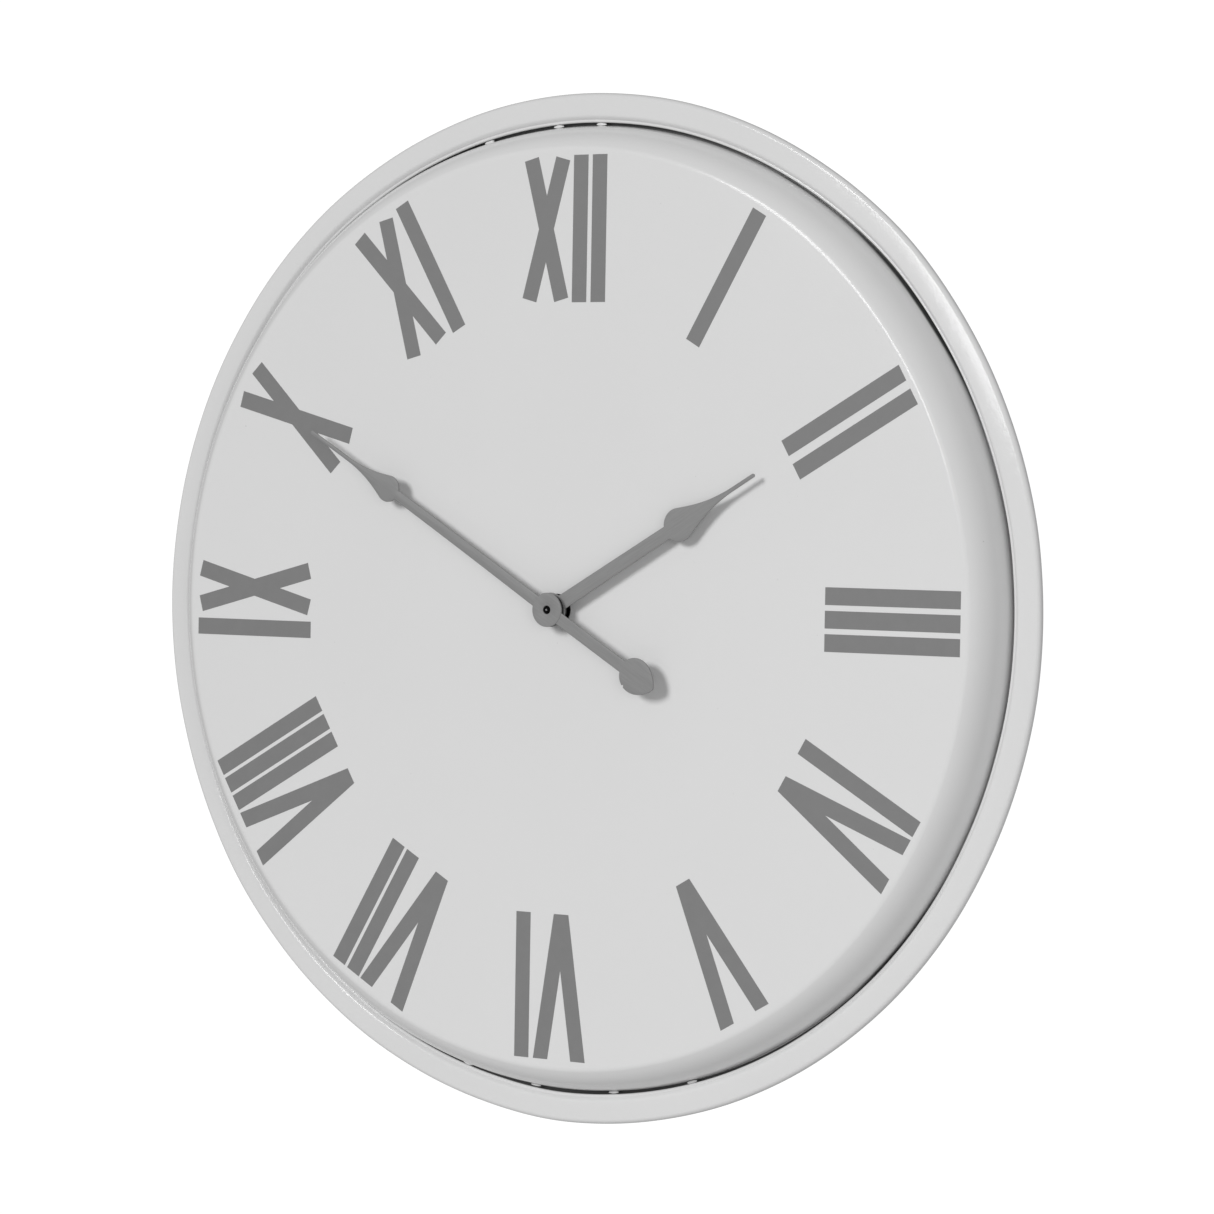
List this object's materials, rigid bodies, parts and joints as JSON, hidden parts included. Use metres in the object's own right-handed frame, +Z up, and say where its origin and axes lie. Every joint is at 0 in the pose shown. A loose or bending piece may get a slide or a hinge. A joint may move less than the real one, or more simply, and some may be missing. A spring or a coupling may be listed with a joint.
{
  "type": "wall clock",
  "caption": "Round metal wall clock with a domed dial pan in an outer ring, spade hands on nested arbors and a battery quartz movement behind.",
  "frame": {"origin": "point where the wall screw carries the hanger strap, in the plane of the wall", "axes": "+Z up, -Y out of the wall towards the viewer, +X to the viewer's right; the dial and the arbors lie on a line along Y at z = -0.215 m"},
  "size_m": [0.6, 0.04, 0.6],
  "materials": {
    "white_paint": "smooth satin off-white paint",
    "grey_paint": "flat mid-grey paint",
    "numeral_paint": "stencilled mid-grey paint, slightly soft at the edges",
    "black_plastic": "moulded, fine texture",
    "black_rubber": "matt",
    "black_steel": "blackened steel",
    "bare_steel": "rolled sheet, lightly oiled",
    "brass": "turned",
    "copper": "enamelled copper wire, wound in layers",
    "white_nylon": "natural moulded plastic",
    "green_board": "lacquered circuit board",
    "battery_sleeve": "printed shrink sleeve, no lettering"
  },
  "bodies": {
    "clock_case": {"rim_ring": "white_paint", "dial_pan": "white_paint", "hanger_strap": "bare_steel", "movement_front_plate": "black_plastic", "movement_case": "black_plastic", "threaded_bushing": "brass", "rubber_washer": "black_rubber", "front_washer": "black_steel", "hex_nut": "black_steel", "motor_stator": "bare_steel", "coil_bobbin": "white_nylon", "coil_winding": "copper", "circuit_board": "green_board", "quartz_crystal": "bare_steel", "clock_chip": "black_plastic", "contact_positive": "bare_steel", "contact_negative": "bare_steel", "weld_tack_1": "white_paint", "weld_tack_2": "white_paint", "weld_tack_3": "white_paint", "weld_tack_4": "white_paint", "weld_tack_5": "white_paint", "weld_tack_6": "white_paint", "weld_tack_7": "white_paint"},
    "minute_work": {"minute_hand": "grey_paint", "minute_hand_collet": "black_plastic", "minute_arbor_wheel": "black_steel"},
    "hour_work": {"hour_hand": "grey_paint", "hour_hand_collet": "black_plastic", "hour_tube_wheel": "white_nylon"},
    "seconds_work": {"seconds_arbor_wheel": "bare_steel"},
    "third_work": {"third_wheel": "white_nylon"},
    "intermediate_work": {"intermediate_wheel": "white_nylon"},
    "rotor_work": {"rotor": "black_steel"},
    "motion_work": {"motion_work_wheel": "white_nylon"},
    "knob_work": {"setting_knob": "white_nylon"},
    "battery": {"aa_battery": "battery_sleeve"}
  },
  "joints": [
    {"name": "minute_turn", "type": "hinge", "parent": "clock_case", "child": "minute_work", "pos_m": [0, -0.02, -0.215], "axis": [0, 1, 0], "continuous": true},
    {"name": "hour_turn", "type": "hinge", "parent": "clock_case", "child": "hour_work", "pos_m": [0, -0.02, -0.215], "axis": [0, 1, 0], "continuous": true},
    {"name": "seconds_turn", "type": "hinge", "parent": "clock_case", "child": "seconds_work", "pos_m": [0, -0.02, -0.215], "axis": [0, 1, 0], "continuous": true},
    {"name": "third_turn", "type": "hinge", "parent": "clock_case", "child": "third_work", "pos_m": [-0.00953, -0.02, -0.2095], "axis": [0, 1, 0], "continuous": true},
    {"name": "intermediate_turn", "type": "hinge", "parent": "clock_case", "child": "intermediate_work", "pos_m": [0.00707, -0.02, -0.20793], "axis": [0, 1, 0], "continuous": true},
    {"name": "rotor_turn", "type": "hinge", "parent": "clock_case", "child": "rotor_work", "pos_m": [0.01422, -0.02, -0.20601], "axis": [0, 1, 0], "continuous": true},
    {"name": "motion_turn", "type": "hinge", "parent": "clock_case", "child": "motion_work", "pos_m": [0.00996, -0.02, -0.21587], "axis": [0, 1, 0], "continuous": true},
    {"name": "knob_turn", "type": "hinge", "parent": "clock_case", "child": "knob_work", "pos_m": [0.02053, -0.02, -0.21202], "axis": [0, 1, 0], "continuous": true},
    {"name": "battery_slide", "type": "slide", "parent": "clock_case", "child": "battery", "axis": [0, 1, 0], "range_m": [0, 0.03]}
  ],
  "couplings": [
    {"joint": "hour_turn", "follows": "minute_turn", "ratio": 0.083333},
    {"joint": "motion_turn", "follows": "minute_turn", "ratio": -0.33333},
    {"joint": "knob_turn", "follows": "minute_turn", "ratio": 0.66667},
    {"joint": "third_turn", "follows": "minute_turn", "ratio": -7.5},
    {"joint": "seconds_turn", "follows": "minute_turn", "ratio": 60},
    {"joint": "intermediate_turn", "follows": "minute_turn", "ratio": -360},
    {"joint": "rotor_turn", "follows": "minute_turn", "ratio": 1800}
  ]
}
